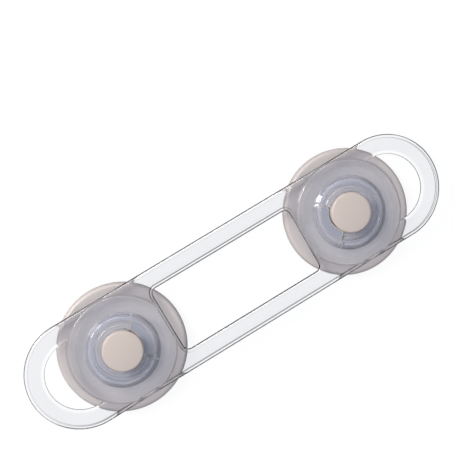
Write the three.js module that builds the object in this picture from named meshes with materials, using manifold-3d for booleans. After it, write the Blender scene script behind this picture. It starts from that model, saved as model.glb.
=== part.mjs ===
// A child safety latch: one clear strap with a finger loop at each end, snapped over a push-button hub
// on each of two round adhesive discs. Pressing a button spreads a split ring, and that end lifts off.
// Millimetres, +Z up. The origin lies on the mounting surface midway between the discs, and the strap
// runs along X, with end a at -X and end b at +X.
import * as THREE from 'three';
import { mergeVertices } from 'three/addons/utils/BufferGeometryUtils.js';
import Module from 'manifold-3d';

// Clearances
const CLEARANCE = 0.3; // between pieces that move past or snap over each other
const WEDGE_GAP = 0.3; // from the button's tapered skirt to the split ring, before the press
const RING_SPREAD = 0.5; // room left round the split ring for it to open

// Strap
const END_SPACING = 91.2; // between the two disc centres
const STRAP_WIDTH = 38;
const RAIL_WIDTH = 6.9;
const RAIL_THICKNESS = 1.8;
const LOOP_OFFSET = 16.4; // disc centre to the centre of the finger loop's curve
const CHORD_OFFSET = 18.2; // disc centre to the plate's straight inner edge
const CORNER_RADIUS = 2; // inner corners of the opening between the rails
const PLATFORM_MARGIN = 0.2; // from the foot of the plate's raised round part to the strap's side
const PLATFORM_RAMP = 0.7; // run of the platform's sloping edge
const PLATFORM_SETBACK = 1; // from the plate's straight edge to the platform
const PLATE_LEDGE = 0.4; // plate left past the platform at the finger loop
const POCKET_FLOOR_THICKNESS = 1;
const PEG_RADIUS = 0.5; // pegs that keep the split ring from turning
const PEG_ANGLE_FROM_GAP_END = 5; // degrees

// Boss cover
const COVER_TOP_WIDTH = 0.88; // flat top between the hole and the sloping wall
const COVER_WALL_RUN = 1.7; // run of the sloping wall
const COVER_EDGE_HEIGHT = 0.6; // straight foot of the cover's sloping wall
const COVER_HEIGHT = 2;
const COVER_SLIT_WIDTH = 0.6;
const COVER_SLIT_DEPTH = 1.2;

// Split ring
const RING_GAP_ANGLE = 92; // degrees, centred on the direction to the strap's middle
const RING_HOOK = 0.35; // reach of the lip under the hub's bead
const RING_LIP_THICKNESS = 0.8;
const RING_NECK_WALL = 1.75;
const RING_FLANGE_WIDTH = 1.5; // flange outside the collar
const RING_FLANGE_THICKNESS = 0.9;
const RING_TOP_WIDTH = 1.8; // flat top inside the collar's bevel
const RING_COLLAR_BEVEL = 1;
const RING_TOP_RECESS = 0.4; // ring's top below the cover's top

// Release button
const BUTTON_RADIUS = 7.1;
const BUTTON_TRAVEL = 1.8;
const BUTTON_RIM_RISE = 0.6; // rim above the cover's top
const BUTTON_RIM_HEIGHT = 0.3;
const BUTTON_DOME_RISE = 1;
const BUTTON_DOME_STEPS = 5;
const BUTTON_CAP_THICKNESS = 0.5; // at the rim
const SKIRT_EDGE = 0.48; // skirt's wall at its lower edge
const WEDGE_SLOPE = 0.4; // radius gained per unit of height on the skirt
const STEM_WALL = 0.7; // round the screw's hole

// Button screw
const SCREW_HEAD_LAP = 0.5; // reach of the head under the hub's floor
const SCREW_HEAD_HEIGHT = 0.8;
const SCREW_SHANK_RADIUS = 0.8;
const SCREW_SHANK_LENGTH = 3.4;
const SCREW_POINT_LENGTH = 0.7;
const RECESS_LENGTH = 2.6;
const RECESS_WIDTH = 0.6;
const RECESS_DEPTH = 0.4;

// Return spring
const SPRING_ROOM = 0.75; // from the wire to the hub's bore
const SPRING_WIRE = 0.45;
const SPRING_TURNS = 3;
const SPRING_SEAT_GAP = 0.1;

// Hub
const HUB_SHOULDER = 0.4; // post outside the bead
const HUB_FLANGE_WIDTH = 2.8;
const HUB_FLANGE_THICKNESS = 0.9;
const HUB_FLOOR_THICKNESS = 0.8;
const HUB_BEAD_REACH = 0.8; // bead outside the groove
const HUB_BEAD_HEIGHT = 0.8;
const HUB_BEAD_BEVEL = 0.45;
const HUB_GROOVE_WALL = 1;

// Base disc
const DISC_RADIUS = 22.5;
const DISC_THICKNESS = 2.2; // above the adhesive pad
const DISC_RIM_DEPTH = 0.5; // rim that hangs down round the pad
const DISC_RIM_WALL = 1.7;
const DISC_EDGE_RADIUS = 1.3;
const DISC_EDGE_STEPS = 4;
const LAND_SEAT_WIDTH = 2.9; // raised seat under the floor of the strap's pocket
const LAND_HEIGHT = 0.8;

// Adhesive pad
const PAD_THICKNESS = 1;

// Facets
const ROUND_SEGMENTS = 40;
const HUB_SEGMENTS = 32;
const SMALL_SEGMENTS = 16;
const ARC_SEGMENTS = 10; // halved steps of each curve in an outline
const SPRING_STEPS_PER_TURN = 8;
const WIRE_SEGMENTS = 3; // halved sides of the spring's wire

// Levels above the mounting surface
const padTop = PAD_THICKNESS;
const discTop = padTop + DISC_THICKNESS;
const landTop = discTop + LAND_HEIGHT;
const strapBottom = landTop + CLEARANCE;
const railTop = strapBottom + RAIL_THICKNESS;
const pocketFloor = strapBottom + POCKET_FLOOR_THICKNESS;
const ringFlangeBottom = pocketFloor + CLEARANCE;
const ringFlangeTop = ringFlangeBottom + RING_FLANGE_THICKNESS;
const platformTop = ringFlangeTop + CLEARANCE;
const coverTop = platformTop + COVER_HEIGHT;
const ringTop = coverTop - RING_TOP_RECESS;
const rimTop = coverTop + BUTTON_RIM_RISE;
const rimBottom = rimTop - BUTTON_RIM_HEIGHT;
const domeTop = rimTop + BUTTON_DOME_RISE;
const capBottom = rimTop - BUTTON_CAP_THICKNESS;
const hubTop = capBottom - BUTTON_TRAVEL - CLEARANCE;
const beadBottom = hubTop - HUB_BEAD_HEIGHT;
const lipTop = beadBottom - CLEARANCE;
const lipBottom = lipTop - RING_LIP_THICKNESS;
const hubShoulderLevel = lipBottom - CLEARANCE;
const skirtBottom = lipTop + BUTTON_TRAVEL + CLEARANCE;
const hubFlangeBottom = padTop + CLEARANCE;
const hubFlangeTop = hubFlangeBottom + HUB_FLANGE_THICKNESS;
const flangeRoof = hubFlangeTop + CLEARANCE;
const screwHeadBottom = padTop + CLEARANCE + BUTTON_TRAVEL;
const screwHeadTop = screwHeadBottom + SCREW_HEAD_HEIGHT;
const hubFloorBottom = screwHeadTop + CLEARANCE;
const hubFloorTop = hubFloorBottom + HUB_FLOOR_THICKNESS;

// Radii of the strap and the disc
const halfWidth = STRAP_WIDTH / 2;
const loopInnerRadius = halfWidth - RAIL_WIDTH;
const platformRadius = halfWidth - PLATFORM_MARGIN;
const plateRadius = platformRadius + PLATE_LEDGE;
const padWellRadius = DISC_RADIUS - DISC_RIM_WALL;
const padRadius = padWellRadius - CLEARANCE;

// Radii from the button's skirt inwards
const skirtRadiusAt = (level) => BUTTON_RADIUS - WEDGE_SLOPE * (rimBottom - level);
const skirtInnerRadius = skirtRadiusAt(skirtBottom) - SKIRT_EDGE;
const hubBeadRadius = skirtInnerRadius - CLEARANCE;
const hubRadius = hubBeadRadius + HUB_SHOULDER;
const hubFlangeRadius = hubRadius + HUB_FLANGE_WIDTH;
const hubGrooveRadius = hubBeadRadius - HUB_BEAD_REACH;
const hubBoreRadius = hubGrooveRadius - HUB_GROOVE_WALL;
const springRadius = hubBoreRadius - SPRING_ROOM - SPRING_WIRE / 2;
const screwHoleRadius = SCREW_SHANK_RADIUS + CLEARANCE;
const stemRadius = screwHoleRadius + STEM_WALL;
const stemHoleRadius = stemRadius + CLEARANCE;
const screwHeadRadius = stemHoleRadius + SCREW_HEAD_LAP;
const screwWellRadius = screwHeadRadius + CLEARANCE;

// Radii from the button's skirt outwards
const ringRadiusAt = (level) => skirtRadiusAt(level) + WEDGE_GAP;
const ringLipRadius = hubBeadRadius - RING_HOOK;
const ringNeckRadius = ringRadiusAt(lipTop) + RING_NECK_WALL;
const ringCollarRadius = ringRadiusAt(ringTop) + RING_TOP_WIDTH + RING_COLLAR_BEVEL;
const ringFlangeRadius = ringCollarRadius + RING_FLANGE_WIDTH;
const pocketRadius = ringFlangeRadius + RING_SPREAD;
const floorHoleRadius = ringNeckRadius + RING_SPREAD + CLEARANCE;
const landRadius = floorHoleRadius + LAND_SEAT_WIDTH;
const coverHoleRadius = ringCollarRadius + RING_SPREAD;
const coverTopRadius = coverHoleRadius + COVER_TOP_WIDTH;
const coverRadius = coverTopRadius + COVER_WALL_RUN;
const gapHalfAngle = THREE.MathUtils.degToRad(RING_GAP_ANGLE / 2);

// Materials
const clearPlastic = () => new THREE.MeshStandardMaterial({
  color: 0xdfe2ee, roughness: 0.08, metalness: 0, transparent: true, opacity: 0.35,
});
const beigePlastic = () => new THREE.MeshStandardMaterial({ color: 0xd6cac0, roughness: 0.4, metalness: 0 });
const greyFoam = () => new THREE.MeshStandardMaterial({ color: 0xb9b6b2, roughness: 0.95, metalness: 0 });
const steel = () => new THREE.MeshStandardMaterial({ color: 0xb8bcc2, roughness: 0.3, metalness: 1 });

// Joining and cutting of closed geometries
const wasm = await Module();
wasm.setup();

function solidOf(geometry) {
  const bare = geometry.clone();
  bare.deleteAttribute('normal');
  bare.deleteAttribute('uv');
  const merged = mergeVertices(bare, 1e-4);
  const vertProperties = new Float32Array(merged.attributes.position.array);
  const triVerts = new Uint32Array(merged.index.array);
  return new wasm.Manifold(new wasm.Mesh({ numProp: 3, vertProperties, triVerts }));
}

function geometryOf(solid) {
  const mesh = solid.getMesh();
  const geometry = new THREE.BufferGeometry();
  geometry.setAttribute('position', new THREE.BufferAttribute(new Float32Array(mesh.vertProperties), 3));
  geometry.setIndex(new THREE.BufferAttribute(new Uint32Array(mesh.triVerts), 1));
  geometry.computeVertexNormals();
  return geometry;
}

const join = (base, others) => geometryOf(others.reduce((sum, g) => sum.add(solidOf(g)), solidOf(base)));
const cut = (base, tools) => geometryOf(tools.reduce((rest, g) => rest.subtract(solidOf(g)), solidOf(base)));

// Turned pieces: each profile point is [radius, level], and the axis becomes Z.
function turned(profile, segments = ROUND_SEGMENTS) {
  const points = profile.map(([radius, level]) => new THREE.Vector2(radius, level));
  return new THREE.LatheGeometry(points, segments).rotateX(Math.PI / 2);
}

// A ring profile is closed on itself; a solid profile runs from the axis back to the axis.
const turnedRing = (profile, segments) => turned([...profile, profile[0]], segments);

const column = (radius, bottom, top, segments) => turned(
  [[0, bottom], [radius, bottom], [radius, top], [0, top]],
  segments,
);

function prism(shape, bottom, top) {
  const depth = top - bottom;
  const options = { depth, bevelEnabled: false, curveSegments: ARC_SEGMENTS };
  return new THREE.ExtrudeGeometry(shape, options).translate(0, 0, bottom);
}

// A quarter-round edge from its level side to its upright side, or back.
function quarterRound(centreRadius, centreLevel, size, steps, fromAngle, toAngle) {
  return Array.from({ length: steps + 1 }, (unused, i) => {
    const angle = THREE.MathUtils.lerp(fromAngle, toAngle, i / steps);
    return [centreRadius + size * Math.cos(angle), centreLevel + size * Math.sin(angle)];
  });
}

// Outlines of the strap, seen from above
function stadiumShape(halfLength, radius) {
  const shape = new THREE.Shape();
  shape.moveTo(-halfLength, -radius);
  shape.lineTo(halfLength, -radius);
  shape.absarc(halfLength, 0, radius, -Math.PI / 2, Math.PI / 2, false);
  shape.lineTo(-halfLength, radius);
  shape.absarc(-halfLength, 0, radius, Math.PI / 2, 1.5 * Math.PI, false);
  return shape;
}

function roundedRectangleShape(halfLength, halfHeight, corner) {
  const shape = new THREE.Shape();
  shape.moveTo(-halfLength + corner, -halfHeight);
  shape.absarc(halfLength - corner, -halfHeight + corner, corner, -Math.PI / 2, 0, false);
  shape.absarc(halfLength - corner, halfHeight - corner, corner, 0, Math.PI / 2, false);
  shape.absarc(-halfLength + corner, halfHeight - corner, corner, Math.PI / 2, Math.PI, false);
  shape.absarc(-halfLength + corner, -halfHeight + corner, corner, Math.PI, 1.5 * Math.PI, false);
  return shape;
}

// The finger opening lies between the loop's inner curve and the plate's round edge, towards +X of a disc.
function fingerOpeningShape() {
  const crossX = (LOOP_OFFSET ** 2 + plateRadius ** 2 - loopInnerRadius ** 2) / (2 * LOOP_OFFSET);
  const crossY = Math.sqrt(plateRadius ** 2 - crossX ** 2);
  const loopAngle = Math.atan2(crossY, crossX - LOOP_OFFSET);
  const plateAngle = Math.atan2(crossY, crossX);
  const shape = new THREE.Shape();
  shape.moveTo(crossX, -crossY);
  shape.absarc(LOOP_OFFSET, 0, loopInnerRadius, -loopAngle, loopAngle, false);
  shape.absarc(0, 0, plateRadius, plateAngle, -plateAngle, true);
  return shape;
}

// Pieces are modelled for end b, at +X, where the loop points to +X; end a is the same turned half round.
function endPlaced(geometry, side) {
  const placed = geometry.clone();
  if (side < 0) placed.rotateZ(Math.PI);
  return placed.translate(side * END_SPACING / 2, 0, 0);
}

// The platform is a low round table with a sloping edge, cut straight beside the plate's inner edge.
function platformGeometry() {
  const root = strapBottom + CLEARANCE;
  const table = turned([
    [0, root],
    [platformRadius, root],
    [platformRadius, railTop],
    [platformRadius - PLATFORM_RAMP, platformTop],
    [0, platformTop],
  ]);
  const reach = 2 * platformRadius;
  const trim = new THREE.BoxGeometry(reach, reach, reach)
    .translate(PLATFORM_SETBACK - CHORD_OFFSET - reach / 2, 0, platformTop);
  return cut(table, [trim]);
}

// Strap: rails and loops of one thickness, a raised platform over each disc, and a pocket for each ring.
function strapGeometry() {
  const above = platformTop + CLEARANCE;
  const below = strapBottom - CLEARANCE;
  const openingHalfLength = END_SPACING / 2 - CHORD_OFFSET;
  const band = prism(stadiumShape(END_SPACING / 2 + LOOP_OFFSET, halfWidth), strapBottom, railTop);
  const openingShape = roundedRectangleShape(openingHalfLength, loopInnerRadius, CORNER_RADIUS);
  const opening = prism(openingShape, below, above);
  const fingerOpening = prism(fingerOpeningShape(), below, above);
  const pocket = column(pocketRadius, pocketFloor, above);
  const floorHole = column(floorHoleRadius, below, above);
  const pegCircle = (ringCollarRadius + pocketRadius) / 2;
  const pegAngle = gapHalfAngle - THREE.MathUtils.degToRad(PEG_ANGLE_FROM_GAP_END);
  const pegFoot = strapBottom + CLEARANCE;
  const pegs = [-1, 1].map((turn) => column(PEG_RADIUS, pegFoot, ringFlangeTop, SMALL_SEGMENTS)
    .translate(-pegCircle * Math.cos(pegAngle), turn * pegCircle * Math.sin(pegAngle), 0));
  const atEnds = (geometries) => [-1, 1].flatMap((side) => geometries.map((g) => endPlaced(g, side)));
  const whole = join(band, atEnds([platformGeometry()]));
  const pierced = cut(whole, [opening, ...atEnds([fingerOpening, pocket, floorHole])]);
  return join(pierced, atEnds(pegs));
}

// Boss cover: a clear ring with a sloping wall that shuts the split ring in its pocket, slit at both ends
// of the ring's gap.
function bossCoverGeometry() {
  const ring = turnedRing([
    [coverHoleRadius, platformTop],
    [coverRadius, platformTop],
    [coverRadius, platformTop + COVER_EDGE_HEIGHT],
    [coverTopRadius, coverTop],
    [coverHoleRadius, coverTop],
  ]);
  const slitCentre = (coverHoleRadius + coverRadius) / 2;
  const slitReach = 2 * (coverRadius - coverHoleRadius);
  const slits = [-1, 1].map((turn) => new THREE.BoxGeometry(slitReach, COVER_SLIT_WIDTH, 2 * COVER_SLIT_DEPTH)
    .translate(slitCentre, 0, coverTop)
    .rotateZ(Math.PI + turn * gapHalfAngle));
  return cut(ring, slits);
}

// Split ring: a flange held in the strap's pocket, a collar round the button with a tapered mouth that the
// button spreads, and a lip that hooks under the hub's bead.
function splitRingGeometry() {
  const ring = turnedRing([
    [ringLipRadius, lipBottom],
    [ringNeckRadius, lipBottom],
    [ringNeckRadius, ringFlangeBottom],
    [ringFlangeRadius, ringFlangeBottom],
    [ringFlangeRadius, ringFlangeTop],
    [ringCollarRadius, ringFlangeTop],
    [ringCollarRadius, ringTop - RING_COLLAR_BEVEL],
    [ringCollarRadius - RING_COLLAR_BEVEL, ringTop],
    [ringRadiusAt(ringTop), ringTop],
    [ringRadiusAt(lipTop), lipTop],
    [ringLipRadius, lipTop],
  ]);
  const reach = 2 * ringFlangeRadius;
  const wedge = new THREE.Shape();
  wedge.moveTo(0, 0);
  wedge.lineTo(-reach * Math.cos(gapHalfAngle), reach * Math.sin(gapHalfAngle));
  wedge.lineTo(-reach * Math.cos(gapHalfAngle), -reach * Math.sin(gapHalfAngle));
  return cut(ring, [prism(wedge, lipBottom - CLEARANCE, ringTop + CLEARANCE)]);
}

// Release button: a domed cap, a tapered skirt that wedges the split ring open, and a stem for the screw.
function releaseButtonGeometry() {
  const pilotTop = screwHeadTop + SCREW_SHANK_LENGTH + SCREW_POINT_LENGTH + CLEARANCE;
  const dome = quarterRound(0, 0, 1, BUTTON_DOME_STEPS, 0, Math.PI / 2)
    .map(([across, up]) => [BUTTON_RADIUS * across ** 0.5, rimTop + BUTTON_DOME_RISE * up]);
  dome[BUTTON_DOME_STEPS] = [0, domeTop];
  return turned([
    [0, pilotTop],
    [screwHoleRadius, pilotTop - CLEARANCE],
    [screwHoleRadius, screwHeadTop],
    [stemRadius, screwHeadTop],
    [stemRadius, capBottom],
    [skirtInnerRadius, capBottom],
    [skirtInnerRadius, skirtBottom],
    [skirtRadiusAt(skirtBottom), skirtBottom],
    [BUTTON_RADIUS, rimBottom],
    ...dome,
  ]);
}

// Button screw: a pan-head screw driven up into the stem, whose head stops the button under the hub's floor.
function buttonScrewGeometry() {
  const shankTop = screwHeadTop + SCREW_SHANK_LENGTH;
  const body = turned([
    [0, screwHeadBottom],
    [screwHeadRadius, screwHeadBottom],
    [screwHeadRadius, screwHeadTop],
    [SCREW_SHANK_RADIUS, screwHeadTop],
    [SCREW_SHANK_RADIUS, shankTop],
    [0, shankTop + SCREW_POINT_LENGTH],
  ], SMALL_SEGMENTS);
  const slots = [0, Math.PI / 2].map((turn) => new THREE.BoxGeometry(RECESS_LENGTH, RECESS_WIDTH,
    2 * RECESS_DEPTH).rotateZ(turn).translate(0, 0, screwHeadBottom));
  return cut(body, slots);
}

// Return spring: one wire wound round the stem, from the hub's floor to the button's cap.
class Helix extends THREE.Curve {
  constructor(radius, bottom, top, turns) {
    super();
    Object.assign(this, { radius, bottom, top, turns });
  }

  getPoint(share, target = new THREE.Vector3()) {
    const angle = 2 * Math.PI * this.turns * share;
    const level = THREE.MathUtils.lerp(this.bottom, this.top, share);
    return target.set(this.radius * Math.cos(angle), this.radius * Math.sin(angle), level);
  }
}

function returnSpringGeometry() {
  const wireRadius = SPRING_WIRE / 2;
  const bottom = hubFloorTop + SPRING_SEAT_GAP + wireRadius;
  const top = capBottom - SPRING_SEAT_GAP - wireRadius;
  const steps = SPRING_STEPS_PER_TURN * SPRING_TURNS;
  const path = new Helix(springRadius, bottom, top, SPRING_TURNS);
  const points = path.getPoints(steps);
  const halfTurn = SPRING_STEPS_PER_TURN / 2;
  const gaps = points.flatMap((p, i) => points.slice(i + halfTurn).map((q) => p.distanceTo(q)));
  console.log(`return spring: least gap between turns ${(Math.min(...gaps) - SPRING_WIRE).toFixed(2)} mm`);
  const section = new THREE.Shape();
  section.absarc(0, 0, wireRadius, 0, 2 * Math.PI, false);
  return new THREE.ExtrudeGeometry(section, { steps, extrudePath: path, curveSegments: WIRE_SEGMENTS });
}

// Hub: a hollow post whose foot turns between the disc and the pad, with a bead for the split ring's lip.
function hubGeometry() {
  return turnedRing([
    [screwWellRadius, hubFlangeBottom],
    [hubFlangeRadius, hubFlangeBottom],
    [hubFlangeRadius, hubFlangeTop],
    [hubRadius, hubFlangeTop],
    [hubRadius, hubShoulderLevel],
    [hubGrooveRadius, hubShoulderLevel],
    [hubGrooveRadius, beadBottom],
    [hubBeadRadius, beadBottom],
    [hubBeadRadius, hubTop - HUB_BEAD_BEVEL],
    [hubBeadRadius - HUB_BEAD_BEVEL, hubTop],
    [hubBoreRadius, hubTop],
    [hubBoreRadius, hubFloorTop],
    [stemHoleRadius, hubFloorTop],
    [stemHoleRadius, hubFloorBottom],
    [screwWellRadius, hubFloorBottom],
  ], HUB_SEGMENTS);
}

// Base disc: a shallow round cap over the adhesive pad, with a bore for the hub and a raised seat.
function baseDiscGeometry() {
  const edgeCentre = DISC_RADIUS - DISC_EDGE_RADIUS;
  const roundedEdge = quarterRound(edgeCentre, discTop - DISC_EDGE_RADIUS, DISC_EDGE_RADIUS, DISC_EDGE_STEPS,
    0, Math.PI / 2);
  const rimBottomLevel = padTop - DISC_RIM_DEPTH;
  return turnedRing([
    [hubFlangeRadius + CLEARANCE, padTop],
    [padWellRadius, padTop],
    [padWellRadius, rimBottomLevel],
    [DISC_RADIUS, rimBottomLevel],
    ...roundedEdge,
    [landRadius, discTop],
    [landRadius, landTop],
    [hubRadius + CLEARANCE, landTop],
    [hubRadius + CLEARANCE, flangeRoof],
    [hubFlangeRadius + CLEARANCE, flangeRoof],
  ]);
}

// Adhesive pad: a die-cut disc of foam tape.
const adhesivePadGeometry = () => column(padRadius, 0, padTop);

// The assembly
const latch = new THREE.Group();

function addPiece(name, geometry, material) {
  const piece = new THREE.Mesh(geometry, material);
  piece.name = name;
  latch.add(piece);
}

const endPieces = [
  ['adhesive_pad', adhesivePadGeometry(), greyFoam],
  ['base_disc', baseDiscGeometry(), beigePlastic],
  ['hub', hubGeometry(), beigePlastic],
  ['return_spring', returnSpringGeometry(), steel],
  ['button_screw', buttonScrewGeometry(), steel],
  ['release_button', releaseButtonGeometry(), beigePlastic],
  ['split_ring', splitRingGeometry(), clearPlastic],
  ['boss_cover', bossCoverGeometry(), clearPlastic],
];

addPiece('strap', strapGeometry(), clearPlastic());
for (const [end, side] of [['a', -1], ['b', 1]]) {
  for (const [name, geometry, material] of endPieces) {
    addPiece(`${name}_${end}`, endPlaced(geometry, side), material());
  }
}

export default latch;
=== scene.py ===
# %% [markdown]
# # A child safety latch in clear and beige plastic
# The latch is a clear strap with a finger loop at each end. Each end snaps over a push-button hub on a
# round beige disc that sticks to a door or a frame. The lesson dresses the fixed frame of solids: it builds
# smooth pieces over the faceted ones with bmesh operators, and gives each piece a finish made of nodes.

# %% Load the frame
import functools
import math

import bmesh
import bpy
from mathutils import Matrix, Vector


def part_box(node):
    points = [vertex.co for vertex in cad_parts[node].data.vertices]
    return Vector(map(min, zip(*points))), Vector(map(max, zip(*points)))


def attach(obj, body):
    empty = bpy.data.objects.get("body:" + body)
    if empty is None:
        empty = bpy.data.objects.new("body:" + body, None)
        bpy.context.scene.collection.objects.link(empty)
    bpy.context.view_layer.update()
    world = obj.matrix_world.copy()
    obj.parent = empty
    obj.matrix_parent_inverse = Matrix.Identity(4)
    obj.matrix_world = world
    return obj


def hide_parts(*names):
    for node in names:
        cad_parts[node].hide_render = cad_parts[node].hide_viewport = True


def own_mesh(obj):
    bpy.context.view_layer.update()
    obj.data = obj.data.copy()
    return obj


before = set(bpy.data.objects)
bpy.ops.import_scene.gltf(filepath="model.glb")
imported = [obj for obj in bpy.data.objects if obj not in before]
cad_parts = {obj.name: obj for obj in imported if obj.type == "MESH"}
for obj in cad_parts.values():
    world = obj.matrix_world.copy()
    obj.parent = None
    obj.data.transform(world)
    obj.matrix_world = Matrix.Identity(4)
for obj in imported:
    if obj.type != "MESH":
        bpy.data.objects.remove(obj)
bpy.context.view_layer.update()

# %% [markdown]
# ## Camera
# The picture looks almost straight down on the latch, turned so that the strap climbs to the right. A
# camera can be set by its angles, but here two directions are known: where it looks, and which way is right
# in the picture. The two and their cross product make the rotation, with nothing left to guess.

# %% Camera
CAMERA_PLACE = Vector((-0.0183, 0.0500, 0.2932))
LOOK_DIRECTION = Vector((0.0845, -0.1120, -0.9901)).normalized()
PICTURE_RIGHT = Vector((0.8545, -0.5030, 0.1298)).normalized()
LENS_MM = 67.08
SENSOR_MM = 36.0

picture_up = PICTURE_RIGHT.cross(LOOK_DIRECTION).normalized()
camera_axes = Matrix((PICTURE_RIGHT, picture_up, -LOOK_DIRECTION)).transposed()
camera_data = bpy.data.cameras.new("camera")
camera_data.lens = LENS_MM
camera_data.sensor_width = SENSOR_MM
camera = bpy.data.objects.new("camera", camera_data)
camera.matrix_world = Matrix.Translation(CAMERA_PLACE) @ camera_axes.to_4x4()
bpy.context.scene.collection.objects.link(camera)
bpy.context.scene.camera = camera
bpy.context.scene.view_settings.view_transform = "Standard"
print("camera at", list(CAMERA_PLACE))

# %% [markdown]
# ## Sizes
# Places and outer sizes come from the frame, so the dressed pieces stay where the solids are. The sizes
# inside the strap, which a box can't tell, are named here once.

# %% Sizes
MM = 0.001
ENDS = {"a": -1, "b": 1}

strap_low, strap_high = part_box("strap")
disc_low, disc_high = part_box("base_disc_b")
cover_low, cover_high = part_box("boss_cover_b")
ring_low, ring_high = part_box("split_ring_b")
button_low, button_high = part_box("release_button_b")
hub_low, hub_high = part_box("hub_b")
pad_low, pad_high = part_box("adhesive_pad_b")

END_X = (disc_low.x + disc_high.x) / 2
HALF_WIDTH = strap_high.y
STRAP_BOTTOM = strap_low.z
STRAP_THICKNESS = 1.8 * MM
RAIL_TOP = STRAP_BOTTOM + STRAP_THICKNESS
PLATFORM_TOP = strap_high.z
RAIL_WIDTH = 6.9 * MM
LOOP_RADIUS = HALF_WIDTH - RAIL_WIDTH
LOOP_X = strap_high.x - HALF_WIDTH
CHORD_OFFSET = 18.2 * MM
PLATE_RADIUS = 19.2 * MM
PLATFORM_RADIUS = 18.8 * MM
POCKET_RADIUS = 11.92 * MM
POCKET_WALL = 1 * MM
POCKET_FLOOR = STRAP_BOTTOM + POCKET_WALL
FLOOR_HOLE_RADIUS = 8.59 * MM
GAP_HALF_ANGLE = math.radians(46)
print("ends", 2 * END_X, "apart; strap", 2 * strap_high.x, "long")

# %% [markdown]
# ## Finishes
# Every moulding has faint unevenness: the gloss wanders over the surface and the skin is not perfectly
# flat. One node group makes that wander from two noises on Object coordinates, and each finish uses it at
# its own scale.

# %% The shared unevenness group
BROAD_DETAIL, FINE_DETAIL = 3.0, 2.0
NOISE_LOW, NOISE_HIGH = 0.3, 0.7


def add_sockets(group, direction, names):
    for name in names:
        group.interface.new_socket(name=name, in_out=direction, socket_type="NodeSocketFloat")


def moulded_skin_group():
    group = bpy.data.node_groups.new("moulded_skin", "ShaderNodeTree")
    add_sockets(group, "INPUT", ("Broad Scale", "Fine Scale", "Least Roughness", "Most Roughness"))
    add_sockets(group, "OUTPUT", ("Roughness", "Broad", "Fine"))
    nodes, links = group.nodes, group.links
    taken = nodes.new("NodeGroupInput")
    given = nodes.new("NodeGroupOutput")
    place = nodes.new("ShaderNodeTexCoord")
    broad = nodes.new("ShaderNodeTexNoise")
    fine = nodes.new("ShaderNodeTexNoise")
    broad.inputs["Detail"].default_value = BROAD_DETAIL
    fine.inputs["Detail"].default_value = FINE_DETAIL
    spread = nodes.new("ShaderNodeMapRange")
    spread.inputs["From Min"].default_value = NOISE_LOW
    spread.inputs["From Max"].default_value = NOISE_HIGH
    links.new(place.outputs["Object"], broad.inputs["Vector"])
    links.new(place.outputs["Object"], fine.inputs["Vector"])
    links.new(taken.outputs["Broad Scale"], broad.inputs["Scale"])
    links.new(taken.outputs["Fine Scale"], fine.inputs["Scale"])
    links.new(broad.outputs["Fac"], spread.inputs["Value"])
    links.new(taken.outputs["Least Roughness"], spread.inputs["To Min"])
    links.new(taken.outputs["Most Roughness"], spread.inputs["To Max"])
    links.new(spread.outputs["Result"], given.inputs["Roughness"])
    links.new(broad.outputs["Fac"], given.inputs["Broad"])
    links.new(fine.outputs["Fac"], given.inputs["Fine"])
    return group


moulded_skin = moulded_skin_group()
print("group", moulded_skin.name, "with", len(moulded_skin.nodes), "nodes")


# %% Start of a material
def start_material(name, scales, roughness):
    material = bpy.data.materials.new(name)
    material.use_nodes = True
    nodes, links = material.node_tree.nodes, material.node_tree.links
    nodes.clear()
    output = nodes.new("ShaderNodeOutputMaterial")
    shader = nodes.new("ShaderNodeBsdfPrincipled")
    skin = nodes.new("ShaderNodeGroup")
    skin.node_tree = moulded_skin
    skin.inputs["Broad Scale"].default_value = scales[0]
    skin.inputs["Fine Scale"].default_value = scales[1]
    skin.inputs["Least Roughness"].default_value = roughness[0]
    skin.inputs["Most Roughness"].default_value = roughness[1]
    links.new(skin.outputs["Roughness"], shader.inputs["Roughness"])
    links.new(shader.outputs["BSDF"], output.inputs["Surface"])
    return material, nodes, links, shader, skin


def add_bump(nodes, links, height, shader, size):
    bump = nodes.new("ShaderNodeBump")
    bump.inputs["Strength"].default_value = size[0]
    bump.inputs["Distance"].default_value = size[1]
    links.new(height, bump.inputs["Height"])
    links.new(bump.outputs["Normal"], shader.inputs["Normal"])


def blend_colours(nodes, links, factor, first, second, target):
    ramp = nodes.new("ShaderNodeValToRGB")
    ramp.color_ramp.elements[0].color = (*first, 1)
    ramp.color_ramp.elements[1].color = (*second, 1)
    links.new(factor, ramp.inputs["Fac"])
    links.new(ramp.outputs["Color"], target)


# %% [markdown]
# ### Beige plastic
# The button, the disc and the hub are a warm beige plastic with a satin moulded skin; the button takes a
# warmer pair of tones than the disc and the hub. Two close tones drift into each other, and a very fine bump
# breaks the highlight.

# %% Beige plastic
DISC_TONES = ((0.655, 0.595, 0.56), (0.685, 0.625, 0.585))
BUTTON_TONES = ((0.67, 0.575, 0.505), (0.70, 0.605, 0.53))
BEIGE_SCALES = (90.0, 4500.0)
BEIGE_ROUGHNESS = (0.30, 0.42)
BEIGE_BUMP = (0.12, 0.02 * MM)


def beige_plastic_material(name, tones):
    material, nodes, links, shader, skin = start_material(name, BEIGE_SCALES, BEIGE_ROUGHNESS)
    blend_colours(nodes, links, skin.outputs["Broad"], *tones, shader.inputs["Base Color"])
    add_bump(nodes, links, skin.outputs["Fine"], shader, BEIGE_BUMP)
    return material


disc_beige = beige_plastic_material("disc_beige", DISC_TONES)
button_beige = beige_plastic_material("button_beige", BUTTON_TONES)
print("made", disc_beige.name, "and", button_beige.name)
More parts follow.
